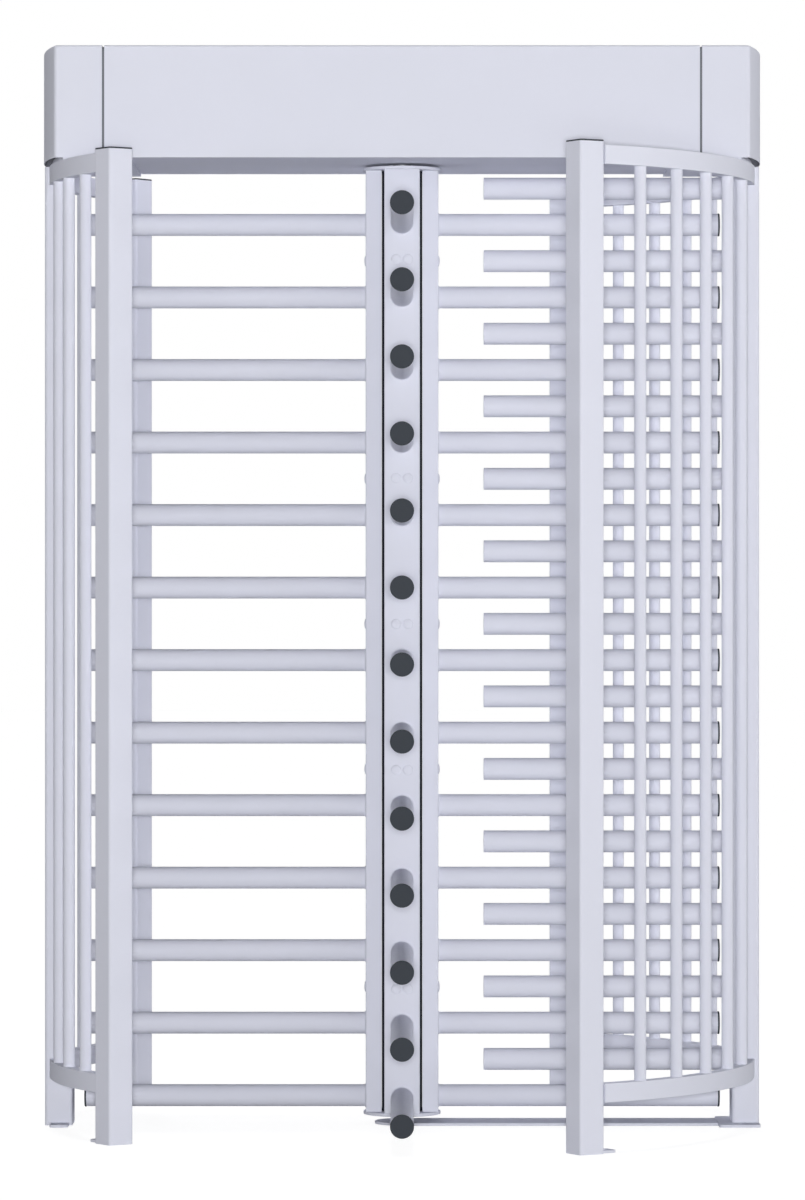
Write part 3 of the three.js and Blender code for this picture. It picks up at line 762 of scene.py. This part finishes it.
def build_seam_strips_painted_shade():
    """Strips behind the two seams of the canopy, whose grey is painted shade in the seams."""
    outside = fold(CANOPY_SHEET + SEAT_GAP, SEAM_STRIP_BEND)
    inside = fold(CANOPY_SHEET + SEAT_GAP + SEAM_STRIP_THICKNESS, SEAM_STRIP_BEND - SEAM_STRIP_THICKNESS)
    for side, values in SIDES.items():
        middle = values["sign"] * SEAM_MIDDLE
        band = prism([*outside, *reversed(inside)], middle - SEAM_STRIP_WIDTH / 2, middle + SEAM_STRIP_WIDTH / 2)
        piece(f"seam_strip_painted_shade_{side}", band, SEAM_SHADE_GREY, "frame", UPRIGHT)


def end_path(inset):
    """The plan of an end cap, from the seam at the front round to the seam at the back."""
    half, radius = CANOPY_DEPTH / 2 - inset, CANOPY_RADIUS - inset
    corner = END_CAP_BEND
    # The small corner's middle is as far from the flat side as from the curved end.
    y = half - corner
    x = math.sqrt((radius - corner) ** 2 - y ** 2)
    tip = math.degrees(math.atan2(y, x))
    steps = math.ceil(2 * tip / ARC_STEP)
    start = SEAM_MIDDLE + SEAM_GAP / 2
    front = arc(corner, -90, -tip, CORNER_STEPS, (x, -y))
    back = arc(corner, tip, 90, CORNER_STEPS, (x, y))
    return [(start, -half), *front, *arc(radius, -tip, tip, steps)[1:-1], *back, (start, half)]


def build_end_caps():
    """Curved end caps with rounded upper edges, open below and towards the seam."""
    edge = arc(CANOPY_BEND, 180, 90, CORNER_STEPS, (CANOPY_BEND, CANOPY_TOP - CANOPY_BEND))
    levels = [(0, CANOPY_BOTTOM), *edge]
    loops = [[(x, y, level) for x, y in end_path(inset)] for inset, level in levels]
    _, roof = end_faces(loops)
    shape = skin(loops, closed=False)
    shape.faces.append(roof)
    for side, values in SIDES.items():
        mirror = Matrix.Diagonal((values["sign"], 1, 1, 1))
        made = piece(f"curved_end_{side}", shape, PAINT, "frame", matrix=mirror)
        sheet = made.modifiers.new("sheet", "SOLIDIFY")
        sheet.thickness = CANOPY_SHEET * MM
        sheet.offset = -1
        sheet.use_even_offset = True
        made.modifiers.move(len(made.modifiers) - 1, 0)
        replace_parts(made, f"canopy_end_cap_{side}")


# The nodes that still show
def finish_nodes():
    """Gives every node that still shows its finish and small rounded edges."""
    slots = {part["node"]: part["material_slot"] for part in frame["record"]["subparts"]}
    for name, node in frame["nodes"].items():
        if node.hide_render:
            continue
        node.data.materials.clear()
        node.data.materials.append(FINISHES[slots[name]])
        node.data.shade_smooth()
        node.data.set_sharp_from_angle(angle=math.radians(SHARP))
        round_edges(node, NODE_EDGE, NODE_SHARP)


# Floor, light and camera
def seen(nodes):
    """1 for what the camera, a gloss or a clear surface sees, and 0 for what light sees."""
    path = nodes.make("ShaderNodeLightPath")
    total = path.outputs["Is Camera Ray"]
    for other in ("Is Glossy Ray", "Is Transmission Ray"):
        largest = nodes.make("ShaderNodeMath", operation="MAXIMUM")
        nodes.link(total, largest.inputs[0])
        nodes.link(path.outputs[other], largest.inputs[1])
        total = largest.outputs[0]
    return total


def build_floor():
    """A pale floor that shows white and keeps the shadow."""
    half = FLOOR_HALF * MM
    corners = [(-half, -half, 0), (half, -half, 0), (half, half, 0), (-half, half, 0)]
    mesh = bpy.data.meshes.new("floor")
    mesh.from_pydata(corners, [], [(0, 1, 2, 3)])
    floor = bpy.data.objects.new("floor", mesh)
    bpy.context.scene.collection.objects.link(floor)
    material = bpy.data.materials.new("pale_floor")
    nodes = Nodes(material)
    matt = nodes.make("ShaderNodeBsdfDiffuse")
    matt.inputs["Color"].default_value = FLOOR_COLOUR
    white = nodes.make("ShaderNodeEmission")
    white.inputs["Color"].default_value = WHITE
    white.inputs["Strength"].default_value = FLOOR_WHITE
    share = nodes.make("ShaderNodeMath", operation="MULTIPLY")
    share.inputs[1].default_value = FLOOR_WHITE_SHARE
    mix = nodes.make("ShaderNodeMixShader")
    out = nodes.make("ShaderNodeOutputMaterial")
    nodes.link(seen(nodes), share.inputs[0])
    nodes.link(share.outputs[0], mix.inputs["Fac"])
    nodes.link(matt.outputs["BSDF"], mix.inputs[1])
    nodes.link(white.outputs["Emission"], mix.inputs[2])
    nodes.link(mix.outputs["Shader"], out.inputs["Surface"])
    mesh.materials.append(material)


def build_world():
    """Dim light all round, which shows as white."""
    world = bpy.data.worlds.new("studio")
    bpy.context.scene.world = world
    nodes = Nodes(world)
    dim = nodes.make("ShaderNodeBackground")
    dim.inputs["Color"].default_value = WORLD_COLOUR
    dim.inputs["Strength"].default_value = WORLD_LIGHT
    white = nodes.make("ShaderNodeBackground")
    white.inputs["Color"].default_value = WHITE
    white.inputs["Strength"].default_value = 1
    mix = nodes.make("ShaderNodeMixShader")
    out = nodes.make("ShaderNodeOutputWorld")
    nodes.link(seen(nodes), mix.inputs["Fac"])
    nodes.link(dim.outputs["Background"], mix.inputs[1])
    nodes.link(white.outputs["Background"], mix.inputs[2])
    nodes.link(mix.outputs["Shader"], out.inputs["Surface"])


def build_front_lamp():
    """A round lamp at the camera, whose shadows fall behind what casts them."""
    light = bpy.data.lights.new("front_lamp", "POINT")
    light.energy = FRONT_LAMP
    light.shadow_soft_size = FRONT_LAMP_RADIUS * MM
    made = bpy.data.objects.new("front_lamp", light)
    made.location = Vector(CAMERA_AT) * MM
    bpy.context.scene.collection.objects.link(made)


def build_far_lamps():
    """Far soft lamps from the sides, from behind and from above."""
    for name, towards, strength, across in FAR_LAMPS:
        light = bpy.data.lights.new(name, "SUN")
        light.energy = strength
        light.angle = math.radians(across)
        made = bpy.data.objects.new(name, light)
        made.rotation_euler = Vector(towards).to_track_quat("-Z", "Y").to_euler()
        bpy.context.scene.collection.objects.link(made)


def build_camera():
    """A camera straight in front, about half as high as the whole."""
    camera = bpy.data.cameras.new("camera")
    camera.lens = FOCAL_LENGTH
    camera.sensor_width = SENSOR
    camera.sensor_fit = "AUTO"
    camera.clip_end = 2 * FLOOR_HALF * MM
    made = bpy.data.objects.new("camera", camera)
    made.location = Vector(CAMERA_AT) * MM
    aim = Vector(CAMERA_AIM) * MM - made.location
    made.rotation_euler = aim.to_track_quat("-Z", "Y").to_euler()
    bpy.context.scene.collection.objects.link(made)
    bpy.context.scene.camera = made


build_rotor()
build_comb()
build_legs()
build_rail()
build_posts()
build_screens()
build_cover()
build_seam_strips_painted_shade()
build_end_caps()
finish_nodes()
build_floor()
build_world()
build_front_lamp()
build_far_lamps()
build_camera()
bpy.context.scene.view_settings.view_transform = "Standard"
